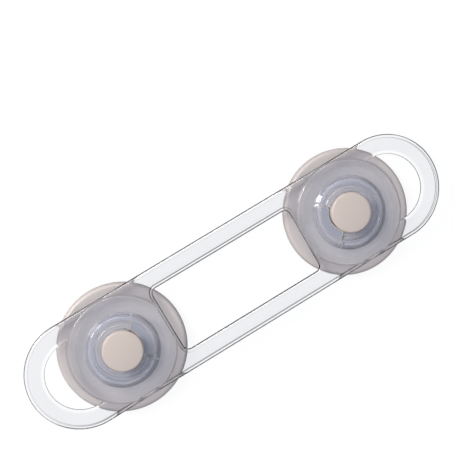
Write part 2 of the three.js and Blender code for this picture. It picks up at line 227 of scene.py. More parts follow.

# %% [markdown]
# ### Clear plastic
# A clear moulding shows mostly at its edges, where it bends light. On the side away from the lamp a rounded
# edge ends in a dark line, with a white band and a second line inside it; on the lamp's side it is white
# almost to the end. Glass alone gives little of this against a white floor, so these lines and bands are
# painted into the tint as painted shade and painted highlight. They follow how far the surface is turned
# from level and whether it faces the lamp. Rays from the lamp pass through as through a film, which lights
# what lies below. The strap's faces and its rims, the platforms, the tongues, the covers and the rings each
# have their own look, and thick mouldings also get a little haze.

# %% Turn of the surface
def edge_turn_group():
    group = bpy.data.node_groups.new("edge_turn", "ShaderNodeTree")
    add_sockets(group, "OUTPUT", ("Turn",))
    nodes, links = group.nodes, group.links
    given = nodes.new("NodeGroupOutput")
    surface = nodes.new("ShaderNodeNewGeometry")
    parts = nodes.new("ShaderNodeSeparateXYZ")
    level = nodes.new("ShaderNodeMath")
    level.operation = "ABSOLUTE"
    turn = nodes.new("ShaderNodeMath")
    turn.operation = "SUBTRACT"
    turn.inputs[0].default_value = 1.0
    links.new(surface.outputs["Normal"], parts.inputs["Vector"])
    links.new(parts.outputs["Z"], level.inputs[0])
    links.new(level.outputs["Value"], turn.inputs[1])
    links.new(turn.outputs["Value"], given.inputs["Turn"])
    return group


edge_turn = edge_turn_group()
print("group", edge_turn.name, "with", len(edge_turn.nodes), "nodes")

# %% Clear plastic
KEY_DIRECTION = Vector((-0.55, 0.80, 0.62)).normalized()
FAR_DIRECTION = Vector((-KEY_DIRECTION.x, -KEY_DIRECTION.y, 0)).normalized()
# Painted light and shade: the white is a painted highlight band on rounded edges. In each look the near and
# far lines and ends and the wall tint are painted dark lines and painted shade on edges and upright walls,
# set by whether the surface faces the lamp. The face tint is the plastic's own colour.
PAINTED_HIGHLIGHT = (1.0, 1.0, 1.0)
STRAP_LOOK = {
    "index": 1.25, "face": (0.87, 0.875, 0.89), "wall": (0.95, 0.955, 0.97), "haze": 0.0,
    "near_painted_line": (0.95, 0.95, 0.96), "near_painted_shade": (0.90, 0.905, 0.92),
    "far_painted_line": (0.96, 0.96, 0.97), "far_painted_shade": (0.98, 0.98, 0.99),
    "film_face": (0.95, 0.955, 0.97), "near_film": (0.70, 0.70, 0.73), "far_film": (0.70, 0.70, 0.73),
}
RIM_LOOK = {
    "index": 1.49, "face": (0.87, 0.875, 0.89), "wall": (0.60, 0.61, 0.65), "haze": 0.0,
    "near_painted_line": (0.80, 0.81, 0.82), "near_painted_shade": (0.40, 0.405, 0.42),
    "far_painted_line": (0.04, 0.042, 0.05), "far_painted_shade": (0.26, 0.265, 0.28),
    "film_face": (0.95, 0.955, 0.97), "near_film": (0.24, 0.24, 0.27), "far_film": (0.45, 0.45, 0.48),
}
PLATFORM_LOOK = {
    "index": 1.49, "face": (0.80, 0.80, 0.825), "wall": (0.80, 0.81, 0.85), "haze": 0.14,
    "near_painted_line": (0.84, 0.845, 0.87), "near_painted_shade": (0.70, 0.705, 0.73),
    "far_painted_line": (0.84, 0.845, 0.87), "far_painted_shade": (0.66, 0.665, 0.69),
    "film_face": (0.95, 0.955, 0.97), "near_film": (0.12, 0.12, 0.15), "far_film": (0.50, 0.50, 0.53),
}
TONGUE_LOOK = {
    **PLATFORM_LOOK, "haze": 0.36, "face": (0.53, 0.56, 0.65),
}
COVER_LOOK = {
    "index": 1.49, "face": (0.95, 0.96, 0.985), "wall": (0.62, 0.64, 0.70), "haze": 0.08,
    "near_painted_line": (0.60, 0.61, 0.65), "near_painted_shade": (0.72, 0.73, 0.77),
    "far_painted_line": (0.80, 0.81, 0.85), "far_painted_shade": (0.66, 0.67, 0.72),
    "film_face": (0.97, 0.975, 0.985), "near_film": (0.88, 0.885, 0.90), "far_film": (0.06, 0.06, 0.08),
}
RING_LOOK = {
    "index": 1.49, "face": (0.83, 0.85, 0.91), "wall": (0.88, 0.90, 0.96), "haze": 0.10,
    "near_painted_line": (0.62, 0.64, 0.69), "near_painted_shade": (0.76, 0.78, 0.84),
    "far_painted_line": (0.92, 0.94, 0.98), "far_painted_shade": (0.92, 0.94, 0.98),
    "film_face": (0.98, 0.985, 0.995), "near_film": (0.93, 0.935, 0.95), "far_film": (0.97, 0.975, 0.985),
}
# Where along the turn of the surface the painted lines, painted highlight bands and painted shade begin and
# end, on the lamp's side and on the far side.
FACE_END, LINE_START, LINE_END, HIGHLIGHT_START = 0.0002, 0.0006, 0.011, 0.018
NEAR_HIGHLIGHT_END, NEAR_SHADE_START = 0.17, 0.22
FAR_HIGHLIGHT_END, FAR_SHADE_START = 0.08, 0.11
FILM_FACE_END, FILM_EDGE_START = 0.02, 0.20
SLOPE_END, WALL_START = 0.80, 0.96
SIDE_BLEND = 0.1
CLEAR_SCALES = (120.0, 900.0)
CLEAR_ROUGHNESS = (0.08, 0.13)
CLEAR_BUMP = (0.02, 0.05 * MM)


def ramp_over(nodes, links, factor, stops):
    ramp = nodes.new("ShaderNodeValToRGB")
    elements = ramp.color_ramp.elements
    while len(elements) < len(stops):
        elements.new(0.5)
    for element, (position, colour) in zip(elements, stops):
        element.position = position
        element.color = (*colour, 1)
    links.new(factor, ramp.inputs["Fac"])
    return ramp.outputs["Color"]


def facing_away(nodes, links):
    surface = nodes.new("ShaderNodeNewGeometry")
    towards = nodes.new("ShaderNodeVectorMath")
    towards.operation = "DOT_PRODUCT"
    towards.inputs[1].default_value = FAR_DIRECTION
    outward = nodes.new("ShaderNodeMath")
    outward.operation = "MULTIPLY_ADD"
    outward.inputs[1].default_value = -2.0
    outward.inputs[2].default_value = 1.0
    signed = nodes.new("ShaderNodeMath")
    signed.operation = "MULTIPLY"
    away = nodes.new("ShaderNodeMapRange")
    away.inputs["From Min"].default_value = -SIDE_BLEND
    away.inputs["From Max"].default_value = SIDE_BLEND
    links.new(surface.outputs["Normal"], towards.inputs[0])
    links.new(surface.outputs["Backfacing"], outward.inputs[0])
    links.new(towards.outputs["Value"], signed.inputs[0])
    links.new(outward.outputs["Value"], signed.inputs[1])
    links.new(signed.outputs["Value"], away.inputs["Value"])
    return away.outputs["Result"]


def mixed_by_side(nodes, links, away, near_colour, far_colour):
    choice = nodes.new("ShaderNodeMix")
    choice.data_type = "RGBA"
    links.new(away, choice.inputs["Factor"])
    links.new(near_colour, choice.inputs["A"])
    links.new(far_colour, choice.inputs["B"])
    return choice.outputs["Result"]


# Painted light along the turn of the surface: the plain face tint on level faces, then a painted dark line, a
# painted white highlight band, painted shade on the slope, and the wall tint on upright walls.
def painted_light_stops(look, line, end, highlight_end, shade_start):
    return (
        (FACE_END, look["face"]), (LINE_START, line), (LINE_END, line), (HIGHLIGHT_START, PAINTED_HIGHLIGHT),
        (highlight_end, PAINTED_HIGHLIGHT), (shade_start, end), (SLOPE_END, end), (WALL_START, look["wall"]),
    )


def film_stops(look, edge):
    face = look["film_face"]
    return (FILM_FACE_END, face), (FILM_EDGE_START, edge), (SLOPE_END, edge), (WALL_START, face)


def clear_plastic_material(name, look):
    material, nodes, links, shader, skin = start_material(name, CLEAR_SCALES, CLEAR_ROUGHNESS)
    shader.inputs["Transmission Weight"].default_value = 1.0 - look["haze"]
    shader.inputs["IOR"].default_value = look["index"]
    add_bump(nodes, links, skin.outputs["Broad"], shader, CLEAR_BUMP)
    edge = nodes.new("ShaderNodeGroup")
    edge.node_tree = edge_turn
    turn = edge.outputs["Turn"]
    away = facing_away(nodes, links)
    near_stops = painted_light_stops(look, look["near_painted_line"], look["near_painted_shade"], NEAR_HIGHLIGHT_END, NEAR_SHADE_START)
    far_stops = painted_light_stops(look, look["far_painted_line"], look["far_painted_shade"], FAR_HIGHLIGHT_END, FAR_SHADE_START)
    # Painted highlight and painted shade for the side facing the lamp and for the side facing away, mixed
    # into the Base Color.
    near_painted_light = ramp_over(nodes, links, turn, near_stops)
    far_painted_light = ramp_over(nodes, links, turn, far_stops)
    links.new(mixed_by_side(nodes, links, away, near_painted_light, far_painted_light), shader.inputs["Base Color"])
    film = nodes.new("ShaderNodeBsdfTransparent")
    near_film = ramp_over(nodes, links, turn, film_stops(look, look["near_film"]))
    far_film = ramp_over(nodes, links, turn, film_stops(look, look["far_film"]))
    links.new(mixed_by_side(nodes, links, away, near_film, far_film), film.inputs["Color"])
    path = nodes.new("ShaderNodeLightPath")
    shown = shader.outputs["BSDF"]
    for ray in ("Is Shadow Ray", "Is Diffuse Ray"):
        choice = nodes.new("ShaderNodeMixShader")
        links.new(path.outputs[ray], choice.inputs["Fac"])
        links.new(shown, choice.inputs[1])
        links.new(film.outputs["BSDF"], choice.inputs[2])
        shown = choice.outputs["Shader"]
    links.new(shown, nodes["Material Output"].inputs["Surface"])
    return material


strap_clear = clear_plastic_material("strap_clear", STRAP_LOOK)
rim_clear = clear_plastic_material("rim_clear", RIM_LOOK)
platform_clear = clear_plastic_material("platform_clear", PLATFORM_LOOK)
tongue_clear = clear_plastic_material("tongue_clear", TONGUE_LOOK)
cover_clear = clear_plastic_material("cover_clear", COVER_LOOK)
ring_clear = clear_plastic_material("ring_clear", RING_LOOK)
clear_materials = (strap_clear, rim_clear, platform_clear, tongue_clear, cover_clear, ring_clear)
print("made", [material.name for material in clear_materials])

# %% [markdown]
# ### Steel and foam
# The spring and the screw are plain bright steel. The pad is closed-cell foam tape: matt, with small cells.

# %% Steel and foam
STEEL_TONES = ((0.52, 0.53, 0.55), (0.66, 0.67, 0.69))
STEEL_SCALES = (700.0, 6000.0)
STEEL_ROUGHNESS = (0.22, 0.38)
STEEL_BUMP = (0.1, 0.01 * MM)
FOAM_TONES = ((0.42, 0.41, 0.40), (0.60, 0.59, 0.575))
FOAM_SCALES = (400.0, 1800.0)
FOAM_ROUGHNESS = (0.85, 0.98)
FOAM_CELL_SCALE = 2500.0
FOAM_BUMP = (0.4, 0.1 * MM)


def bright_steel_material():
    material, nodes, links, shader, skin = start_material("bright_steel", STEEL_SCALES, STEEL_ROUGHNESS)
    shader.inputs["Metallic"].default_value = 1.0
    blend_colours(nodes, links, skin.outputs["Broad"], *STEEL_TONES, shader.inputs["Base Color"])
    add_bump(nodes, links, skin.outputs["Fine"], shader, STEEL_BUMP)
    return material


def tape_foam_material():
    material, nodes, links, shader = start_material("tape_foam", FOAM_SCALES, FOAM_ROUGHNESS)[:4]
    cells = nodes.new("ShaderNodeTexVoronoi")
    cells.inputs["Scale"].default_value = FOAM_CELL_SCALE
    place = nodes.new("ShaderNodeTexCoord")
    links.new(place.outputs["Object"], cells.inputs["Vector"])
    blend_colours(nodes, links, cells.outputs["Distance"], *FOAM_TONES, shader.inputs["Base Color"])
    add_bump(nodes, links, cells.outputs["Distance"], shader, FOAM_BUMP)
    return material


bright_steel = bright_steel_material()
tape_foam = tape_foam_material()
print("made", bright_steel.name, "and", tape_foam.name)

# %% [markdown]
# ## Turned pieces
# Most pieces are round: disc, hub, button, ring and cover. Each is drawn as a wire profile whose corners
# have a radius, a level and, where they are soft, a rounding that a vertex bevel makes. The profile is then
# spun about the disc's axis. A spin is quicker to change than a stack of cylinders, and it leaves no seams.

# %% Turning a profile
TURN_STEPS = 192
CORNER_STEPS = 6
SAME_PLACE = 1e-6


def draw_profile(bm, profile, closed):
    verts = [bm.verts.new((corner[0], 0, corner[1])) for corner in profile]
    for first, second in zip(verts, verts[1:]):
        bm.edges.new((first, second))
    if closed:
        bm.edges.new((verts[-1], verts[0]))
    for vert, corner in zip(verts, profile):
        for rounding in corner[2:]:
            bmesh.ops.bevel(
                bm, geom=[vert], offset=rounding, offset_type="OFFSET", affect="VERTICES",
                segments=CORNER_STEPS, profile=0.5, material=-1,
            )


def spin_all(bm, turn=2 * math.pi, steps=TURN_STEPS):
    bmesh.ops.spin(
        bm, geom=bm.verts[:] + bm.edges[:], cent=(0, 0, 0), axis=(0, 0, 1), angle=turn, steps=steps,
        use_merge=turn >= 2 * math.pi,
    )
    bmesh.ops.remove_doubles(bm, verts=bm.verts[:], dist=SAME_PLACE)


def turned(profile, closed=True):
    bm = bmesh.new()
    draw_profile(bm, profile, closed)
    spin_all(bm)
    bmesh.ops.recalc_face_normals(bm, faces=bm.faces[:])
    return bm


# %% Placing a piece at an end
SHARP_ANGLE = math.radians(38)


def to_end(bm, side):
    if side < 0:
        bmesh.ops.rotate(bm, verts=bm.verts[:], cent=(0, 0, 0), matrix=Matrix.Rotation(math.pi, 3, "Z"))
    bmesh.ops.translate(bm, verts=bm.verts[:], vec=(side * END_X, 0, 0))


def new_object(bm, name, *materials):
    mesh = bpy.data.meshes.new(name)
    bm.to_mesh(mesh)
    bm.free()
    for material in materials:
        mesh.materials.append(material)
    made = bpy.data.objects.new(name, mesh)
    bpy.context.scene.collection.objects.link(made)
    return made


def smooth(piece):
    piece.data.shade_smooth()
    piece.data.set_sharp_from_angle(angle=SHARP_ANGLE)
    modifier = piece.modifiers.new("even_normals", "WEIGHTED_NORMAL")
    modifier.keep_sharp = True


def dress(piece, node, body):
    smooth(piece)
    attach(piece, body)
    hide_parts(node)
    print(piece.name, "stands for", node, "with", len(piece.data.polygons), "faces")


# %% [markdown]
# ## Base discs
# Each disc is a shallow beige cap: a rounded outer edge, a raised seat that the strap's plate rests on, and
# a bore for the hub. All of it is one profile.

# %% Base discs
DISC_RADIUS = (disc_high.x - disc_low.x) / 2
SEAT_HEIGHT = 0.8 * MM
DISC_TOP = disc_high.z - SEAT_HEIGHT
SEAT_RADIUS = 11.49 * MM
PAD_WELL_RADIUS = 20.8 * MM
FLANGE_ROOF = 2.5 * MM
FLANGE_WELL_RADIUS = 9.3 * MM
BORE_RADIUS = 6.5 * MM
PAD_TOP = pad_high.z


def base_disc_profile():
    return [
        (FLANGE_WELL_RADIUS, PAD_TOP),
        (PAD_WELL_RADIUS, PAD_TOP),
        (PAD_WELL_RADIUS, disc_low.z),
        (DISC_RADIUS, disc_low.z, 0.2 * MM),
        (DISC_RADIUS, DISC_TOP, 1.5 * MM),
        (SEAT_RADIUS, DISC_TOP, 0.15 * MM),
        (SEAT_RADIUS, disc_high.z, 0.25 * MM),
        (BORE_RADIUS, disc_high.z, 0.2 * MM),
        (BORE_RADIUS, FLANGE_ROOF),
        (FLANGE_WELL_RADIUS, FLANGE_ROOF),
    ]


for end, side in ENDS.items():
    bm = turned(base_disc_profile())
    to_end(bm, side)
    disc = new_object(bm, f"disc_{end}", disc_beige)
    dress(disc, f"base_disc_{end}", f"base_{end}")

# %% [markdown]
# ## Hubs
# The hub is the post that the strap snaps onto. Its foot turns under the disc, and its bead is what the
# split ring hooks under. It shows when the strap is lifted off.

# %% Hubs
HUB_FLANGE_RADIUS = (hub_high.x - hub_low.x) / 2
HUB_RADIUS = 6.2 * MM
HUB_GROOVE_RADIUS = 5 * MM
HUB_BEAD_RADIUS = 5.8 * MM
HUB_BORE_RADIUS = 4 * MM
STEM_HOLE_RADIUS = 2.1 * MM
SCREW_WELL_RADIUS = 2.9 * MM
HUB_TOP = hub_high.z
BEAD_HEIGHT = 0.8 * MM
BEAD_BOTTOM = HUB_TOP - BEAD_HEIGHT
HUB_SHOULDER = 4.6 * MM
HUB_FLOOR_TOP = 5 * MM
HUB_FLOOR_BOTTOM = 4.2 * MM
HUB_FLANGE_HEIGHT = 0.9 * MM
HUB_FLANGE_TOP = hub_low.z + HUB_FLANGE_HEIGHT


def hub_profile():
    return [
        (SCREW_WELL_RADIUS, hub_low.z),
        (HUB_FLANGE_RADIUS, hub_low.z, 0.1 * MM),
        (HUB_FLANGE_RADIUS, HUB_FLANGE_TOP, 0.1 * MM),
        (HUB_RADIUS, HUB_FLANGE_TOP),
        (HUB_RADIUS, HUB_SHOULDER, 0.15 * MM),
        (HUB_GROOVE_RADIUS, HUB_SHOULDER),
        (HUB_GROOVE_RADIUS, BEAD_BOTTOM),
        (HUB_BEAD_RADIUS, BEAD_BOTTOM, 0.15 * MM),
        (HUB_BEAD_RADIUS, HUB_TOP, 0.45 * MM),
        (HUB_BORE_RADIUS, HUB_TOP, 0.15 * MM),
        (HUB_BORE_RADIUS, HUB_FLOOR_TOP),
        (STEM_HOLE_RADIUS, HUB_FLOOR_TOP),
        (STEM_HOLE_RADIUS, HUB_FLOOR_BOTTOM),
        (SCREW_WELL_RADIUS, HUB_FLOOR_BOTTOM),
    ]


for end, side in ENDS.items():
    bm = turned(hub_profile())
    to_end(bm, side)
    post = new_object(bm, f"post_{end}", disc_beige)
    dress(post, f"hub_{end}", f"hub_{end}")

# %% [markdown]
# ## Release buttons
# The button is a low beige dome with a soft rim. Under it a tapered skirt wedges the split ring open, and a
# stem runs down through the hub. The ring can't spread here, so the skirt is slim enough to miss it when it
# is pressed. The crown drops towards the rim with the square of the radius, which a few points follow
# closely.

# %% Release buttons
BUTTON_RADIUS = (button_high.x - button_low.x) / 2
BUTTON_TOP = button_high.z
BUTTON_RIM_BOTTOM = 9.3 * MM
CROWN_DROP = 0.45 * MM
RIM_ROUNDING = 0.7 * MM
CROWN_SHARES = (0.8, 0.65, 0.5, 0.35, 0.2)
CAP_BOTTOM = 8.9 * MM
SKIRT_BOTTOM = 7.8 * MM
SKIRT_RADIUS = 6.3 * MM
SKIRT_BORE_RADIUS = 5.85 * MM
STEM_RADIUS = 1.8 * MM
SCREW_HOLE_RADIUS = 1.1 * MM
SCREW_HOLE_TOP = 8 * MM
SCREW_HOLE_TIP = 8.3 * MM


def button_profile():
    crown = [(share * BUTTON_RADIUS, BUTTON_TOP - CROWN_DROP * share ** 2) for share in CROWN_SHARES]
    return [
        (0, SCREW_HOLE_TIP),
        (SCREW_HOLE_RADIUS, SCREW_HOLE_TOP),
        (SCREW_HOLE_RADIUS, button_low.z),
        (STEM_RADIUS, button_low.z, 0.15 * MM),
        (STEM_RADIUS, CAP_BOTTOM),
        (SKIRT_BORE_RADIUS, CAP_BOTTOM),
        (SKIRT_BORE_RADIUS, SKIRT_BOTTOM),
        (SKIRT_RADIUS, SKIRT_BOTTOM, 0.1 * MM),
        (BUTTON_RADIUS, BUTTON_RIM_BOTTOM),
        (BUTTON_RADIUS, BUTTON_TOP - CROWN_DROP, RIM_ROUNDING),
        *crown,
        (0, BUTTON_TOP),
    ]


for end, side in ENDS.items():
    bm = turned(button_profile(), closed=False)
    to_end(bm, side)
    button = new_object(bm, f"button_{end}", button_beige)
    dress(button, f"release_button_{end}", f"button_{end}")

# %% [markdown]
# ## Split rings
# The clear ring round the button is open towards the strap's middle, so that it can spread. A low step on
# its top draws a second line round the button. The profile is spun part of a turn, and the two open ends
# are filled and softened.

# %% Split rings
RING_FLANGE_RADIUS = ring_high.y
RING_MOUTH_RADIUS = 7.6 * MM
RING_COLLAR_RADIUS = 9.92 * MM
RING_NECK_RADIUS = 7.79 * MM
RING_LIP_RADIUS = 5.45 * MM
RING_LIP_TOP = 5.7 * MM
RING_THROAT_RADIUS = 6.4 * MM
RING_FLANGE_BOTTOM = 5.6 * MM
RING_FLANGE_TOP = 6.5 * MM
RING_COLLAR_BEVEL = 1 * MM
RING_STEP_RADIUS = 8.5 * MM
RING_STEP = 0.35 * MM
RING_STEPS = 96
END_ROUNDING = 0.12 * MM


def split_ring_profile():
    return [
        (RING_LIP_RADIUS, ring_low.z, 0.1 * MM),
        (RING_NECK_RADIUS, ring_low.z, 0.1 * MM),
        (RING_NECK_RADIUS, RING_FLANGE_BOTTOM),
        (RING_FLANGE_RADIUS, RING_FLANGE_BOTTOM, 0.15 * MM),
        (RING_FLANGE_RADIUS, RING_FLANGE_TOP, 0.15 * MM),
        (RING_COLLAR_RADIUS, RING_FLANGE_TOP, 0.1 * MM),
        (RING_COLLAR_RADIUS, ring_high.z - RING_COLLAR_BEVEL, 0.3 * MM),
        (RING_COLLAR_RADIUS - RING_COLLAR_BEVEL, ring_high.z, 0.3 * MM),
        (RING_STEP_RADIUS, ring_high.z, 0.08 * MM),
        (RING_STEP_RADIUS - RING_STEP / 2, ring_high.z - RING_STEP, 0.08 * MM),
        (RING_MOUTH_RADIUS, ring_high.z - RING_STEP, 0.2 * MM),
        (RING_THROAT_RADIUS, RING_LIP_TOP, 0.1 * MM),
        (RING_LIP_RADIUS, RING_LIP_TOP, 0.1 * MM),
    ]


def split_ring_mesh():
    bm = bmesh.new()
    draw_profile(bm, split_ring_profile(), closed=True)
    turn = 2 * (math.pi - GAP_HALF_ANGLE)
    spin_all(bm, turn, RING_STEPS)
    start = Matrix.Rotation(GAP_HALF_ANGLE - math.pi, 3, "Z")
    bmesh.ops.rotate(bm, verts=bm.verts[:], cent=(0, 0, 0), matrix=start)
    rims = [edge for edge in bm.edges if edge.is_boundary]
    bmesh.ops.holes_fill(bm, edges=rims)
    bmesh.ops.recalc_face_normals(bm, faces=bm.faces[:])
    bmesh.ops.bevel(
        bm, geom=rims, offset=END_ROUNDING, offset_type="OFFSET", affect="EDGES", segments=3, profile=0.5,
        material=-1,
    )
    return bm


for end, side in ENDS.items():
    bm = split_ring_mesh()
    to_end(bm, side)
    ring = new_object(bm, f"clip_ring_{end}", ring_clear)
    dress(ring, f"split_ring_{end}", "strap")

# %% [markdown]
# ## Boss covers
# The raised clear boss shuts the ring in its pocket. It is turned, and two slits are cut at the ends of the
# ring's gap. A spin can't make a slit of part depth, so two bars are taken away with a Boolean.

# %% Boolean helper
OVERLAP = 0.03 * MM


def combine(target, tool, operation):
    modifier = target.modifiers.new("combine", "BOOLEAN")
    modifier.object = tool
    modifier.operation = operation
    modifier.solver = "EXACT"
    modifier.material_mode = "TRANSFER"
    shown = target.evaluated_get(bpy.context.evaluated_depsgraph_get())
    mesh = bpy.data.meshes.new_from_object(shown)
    target.modifiers.clear()
    target.data = mesh
    bpy.data.objects.remove(tool)


# %% Boss covers
COVER_RADIUS = (cover_high.x - cover_low.x) / 2
COVER_TOP_RADIUS = 11.3 * MM
COVER_HOLE_RADIUS = 10.42 * MM
COVER_FOOT = 0.6 * MM
SLIT_WIDTH = 0.6 * MM
SLIT_DEPTH = 1.2 * MM


def boss_cover_profile():
    foot = cover_low.z + OVERLAP
    return [
        (COVER_HOLE_RADIUS, foot),
        (COVER_RADIUS, foot, 0.05 * MM),
        (COVER_RADIUS, foot + COVER_FOOT, 0.3 * MM),
        (COVER_TOP_RADIUS, cover_high.z, 0.4 * MM),
        (COVER_HOLE_RADIUS, cover_high.z, 0.2 * MM),
    ]


def slit_bars(side):
    bm = bmesh.new()
    reach = 2 * (COVER_RADIUS - COVER_HOLE_RADIUS)
    middle = (COVER_RADIUS + COVER_HOLE_RADIUS) / 2
    for turn in (-1, 1):
        bar = bmesh.ops.create_cube(bm, size=1)["verts"]
        bmesh.ops.scale(bm, verts=bar, vec=(reach, SLIT_WIDTH, 2 * SLIT_DEPTH))
        bmesh.ops.translate(bm, verts=bar, vec=(middle, 0, cover_high.z))
        angle = Matrix.Rotation(math.pi + turn * GAP_HALF_ANGLE, 3, "Z")
        bmesh.ops.rotate(bm, verts=bar, cent=(0, 0, 0), matrix=angle)
    to_end(bm, side)
    return bm


for end, side in ENDS.items():
    bm = turned(boss_cover_profile())
    to_end(bm, side)
    cover = new_object(bm, f"boss_{end}", cover_clear)
    bars = new_object(slit_bars(side), f"slit_bars_{end}", cover_clear)
    combine(cover, bars, "DIFFERENCE")
    dress(cover, f"boss_cover_{end}", "strap")

# %% [markdown]
# ## Strap
# The strap is one clear moulding: two rails, a loop round each finger opening, and a plate over each disc.
# Its edges are rounded further in than half its thickness, which a bevel can't do. So each outline is drawn
# with lines and turned vertices at several levels, set in by the steps of half an ellipse, and the levels
# are bridged.

# %% Drawing the strap's outlines
ARC_STEP = math.radians(3)
OPENING_CORNER = 2 * MM
PLATFORM_ROOT_RADIUS = 15 * MM
LOOP_END_STEPS = 180
FINGER_LOOP_STEPS = 72
FINGER_PLATE_STEPS = 36


def draw_arc(bm, start, centre, turn, steps=None):
    made = bmesh.ops.spin(
        bm, geom=[start], cent=centre, axis=(0, 0, 1), angle=turn, steps=steps or round(abs(turn) / ARC_STEP),
    )
    return next(item for item in made["geom_last"] if isinstance(item, bmesh.types.BMVert))


def draw_line(bm, start, place):
    end = bm.verts.new(place)
    bm.edges.new((start, end))
    return end


def draw_outer_edge(bm, inset):
    radius = HALF_WIDTH - inset
    start = bm.verts.new((LOOP_X, -radius, 0))
    pen = draw_arc(bm, start, (LOOP_X, 0, 0), math.pi, LOOP_END_STEPS)
    pen = draw_line(bm, pen, (-LOOP_X, radius, 0))
    pen = draw_arc(bm, pen, (-LOOP_X, 0, 0), math.pi, LOOP_END_STEPS)
    bm.edges.new((pen, start))


def draw_middle_opening(bm, inset):
    half_length = END_X - CHORD_OFFSET - OPENING_CORNER
    half_height = LOOP_RADIUS - OPENING_CORNER
    corners = ((1, -1), (1, 1), (-1, 1), (-1, -1))
    start = pen = bm.verts.new((half_length, -LOOP_RADIUS - inset, 0))
    for index, (across, up) in enumerate(corners):
        centre = Vector((across * half_length, up * half_height, 0))
        pen = draw_arc(bm, pen, centre, math.pi / 2)
        if index < 3:
            following = corners[index + 1]
            shift = Vector((following[0] - across, following[1] - up, 0))
            move = Vector((shift.x * half_length, shift.y * half_height, 0))
            pen = draw_line(bm, pen, pen.co + move)
    bm.edges.new((pen, start))


def draw_finger_opening(bm, inset, side):
    loop = LOOP_X - END_X
    loop_radius = LOOP_RADIUS + inset
    plate_radius = PLATE_RADIUS - inset
    cross_x = (loop ** 2 + plate_radius ** 2 - loop_radius ** 2) / (2 * loop)
    cross_y = math.sqrt(plate_radius ** 2 - cross_x ** 2)
    start = bm.verts.new((side * (END_X + cross_x), -side * cross_y, 0))
    loop_turn = 2 * math.atan2(cross_y, cross_x - loop)
    pen = draw_arc(bm, start, (side * LOOP_X, 0, 0), loop_turn, FINGER_LOOP_STEPS)
    plate_turn = -2 * math.atan2(cross_y, cross_x)
    draw_arc(bm, pen, (side * END_X, 0, 0), plate_turn, FINGER_PLATE_STEPS)


def draw_platform_root(bm, inset, side):
    start = bm.verts.new((side * END_X + PLATFORM_ROOT_RADIUS + inset, 0, 0))
    draw_arc(bm, start, (side * END_X, 0, 0), 2 * math.pi)


# %% The strap's band
EDGE_WIDTH = 1.4 * MM
EDGE_STEPS = 8
STRAP_SLOT, RIM_SLOT = range(2)


def edge_layers():
    half_thickness = STRAP_THICKNESS / 2
    angles = [step / EDGE_STEPS * math.pi / 2 for step in range(-EDGE_STEPS, EDGE_STEPS + 1)]
    return [
        (EDGE_WIDTH * (1 - math.cos(angle)), STRAP_BOTTOM + half_thickness * (1 + math.sin(angle)))
        for angle in angles
    ]


def poured(source, target):
    mesh = bpy.data.meshes.new("poured")
    source.to_mesh(mesh)
    source.free()
    target.from_mesh(mesh)
    bpy.data.meshes.remove(mesh)


def edge_wall(draw_outline, slot):
    wall = bmesh.new()
    rings = []
    for inset, level in edge_layers():
        ring = bmesh.new()
        draw_outline(ring, inset)
        bmesh.ops.remove_doubles(ring, verts=ring.verts[:], dist=SAME_PLACE)
        bmesh.ops.translate(ring, verts=ring.verts[:], vec=(0, 0, level))
        earlier = set(wall.edges)
        poured(ring, wall)
        rings.append([edge for edge in wall.edges if edge not in earlier])
    for lower, upper in zip(rings, rings[1:]):
        bmesh.ops.bridge_loops(wall, edges=lower + upper)
    for face in wall.faces:
        face.material_index = slot
    return wall


def band_mesh():
    bm = bmesh.new()
    outlines = [(draw_outer_edge, RIM_SLOT), (draw_middle_opening, RIM_SLOT)]
    for side in ENDS.values():
        outlines.append((functools.partial(draw_finger_opening, side=side), STRAP_SLOT))
        outlines.append((functools.partial(draw_platform_root, side=side), STRAP_SLOT))
    for draw_outline, slot in outlines:
        poured(edge_wall(draw_outline, slot), bm)
    middle = (STRAP_BOTTOM + RAIL_TOP) / 2
    rims = [edge for edge in bm.edges if edge.is_boundary]
    upper = [edge for edge in rims if edge.verts[0].co.z > middle]
    lower = [edge for edge in rims if edge.verts[0].co.z < middle]
    for edges in (upper, lower):
        bmesh.ops.triangle_fill(bm, use_beauty=True, edges=edges, normal=(0, 0, 1))
    bmesh.ops.recalc_face_normals(bm, faces=bm.faces[:])
    return bm


# %% [markdown]
# The raised platform over each disc is turned, with a sloping edge, the pocket for the ring and the hole
# for the hub, and it is cut straight beside the plate's inner edge. It joins the band by a Boolean union,
# so the clear strap has no walls inside. Two small pegs in each pocket keep the ring from turning, and a
# tongue fills most of the ring's gap, nearly as high as the ring.

# %% Platforms, pegs and tongues
PLATFORM_RAMP = 0.7 * MM
PLATFORM_SETBACK = 1 * MM
PLATFORM_TWIST = ARC_STEP / 16
PLATFORM_FOOT_RADIUS = PLATFORM_ROOT_RADIUS + EDGE_WIDTH + 0.3 * MM
PEG_RADIUS = 0.5 * MM
PEG_SIDES = 24
PEG_FOOT = STRAP_BOTTOM + 0.3 * MM
PEG_ANGLE = GAP_HALF_ANGLE - math.radians(5)
PEG_CIRCLE = (RING_COLLAR_RADIUS + POCKET_RADIUS) / 2
TONGUE_TIP_RADIUS = 7.4 * MM
TONGUE_DROP = 0.8 * MM
TONGUE_HALF_ANGLE = GAP_HALF_ANGLE - math.radians(6)
TONGUE_STEPS = 48


